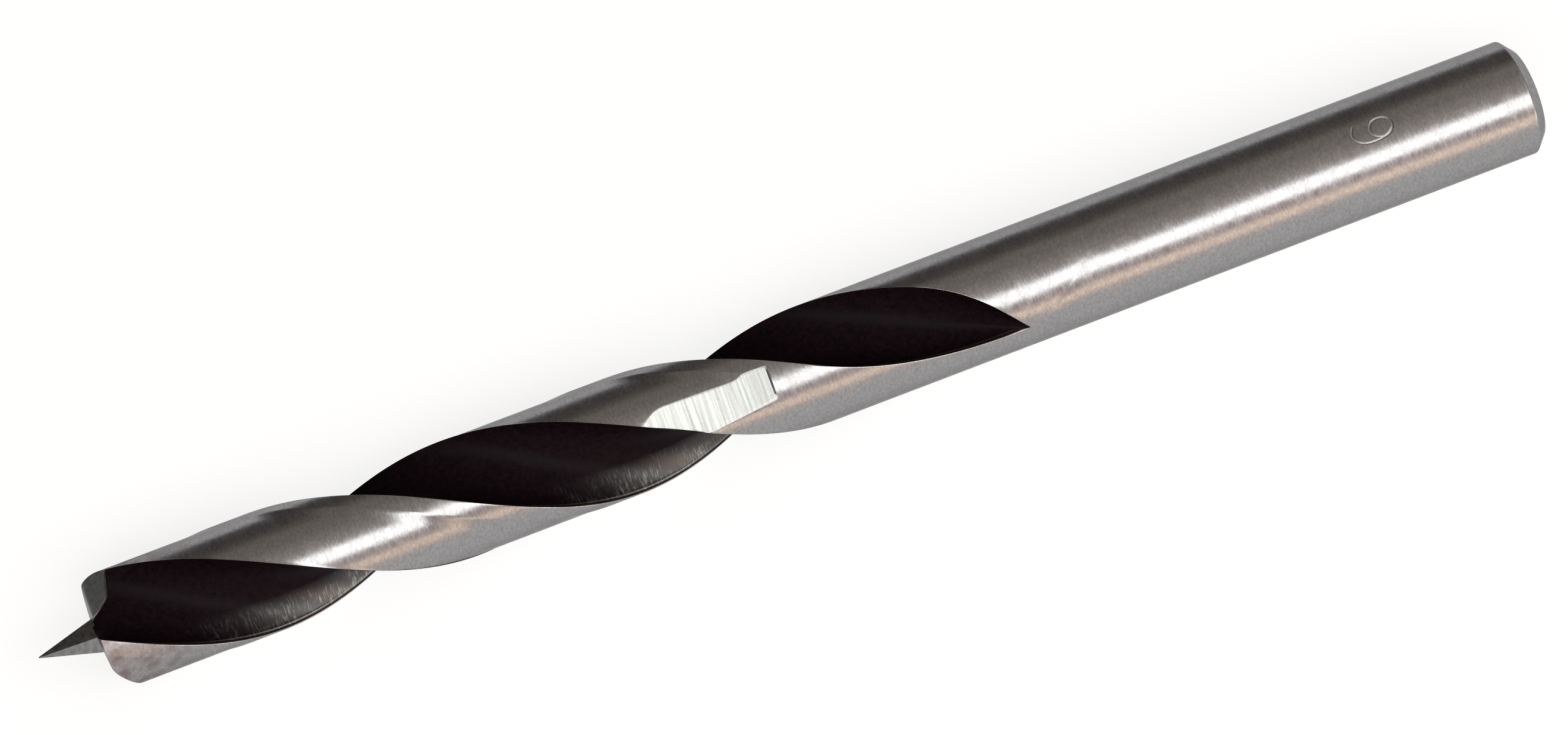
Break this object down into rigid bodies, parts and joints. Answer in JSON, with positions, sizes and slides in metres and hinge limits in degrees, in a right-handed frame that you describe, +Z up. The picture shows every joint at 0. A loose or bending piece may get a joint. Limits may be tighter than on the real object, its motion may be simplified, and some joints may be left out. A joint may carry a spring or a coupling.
{
  "type": "wood drill bit",
  "caption": "Brad-point wood drill bit with a right-hand spiral body, a centre point and a plain round shank for a chuck.",
  "frame": {"origin": "on the surface that the bit lies on, under the middle of its length", "axes": "+X along the bit's axis from the point to the shank end, +Z up"},
  "size_m": [0.12, 0.009, 0.009],
  "materials": {
    "steel": "ground bright on the shank, lands and point, black oxide in the flutes"
  },
  "bodies": {
    "root": {"drill_bit": "steel"}
  },
  "joints": []
}
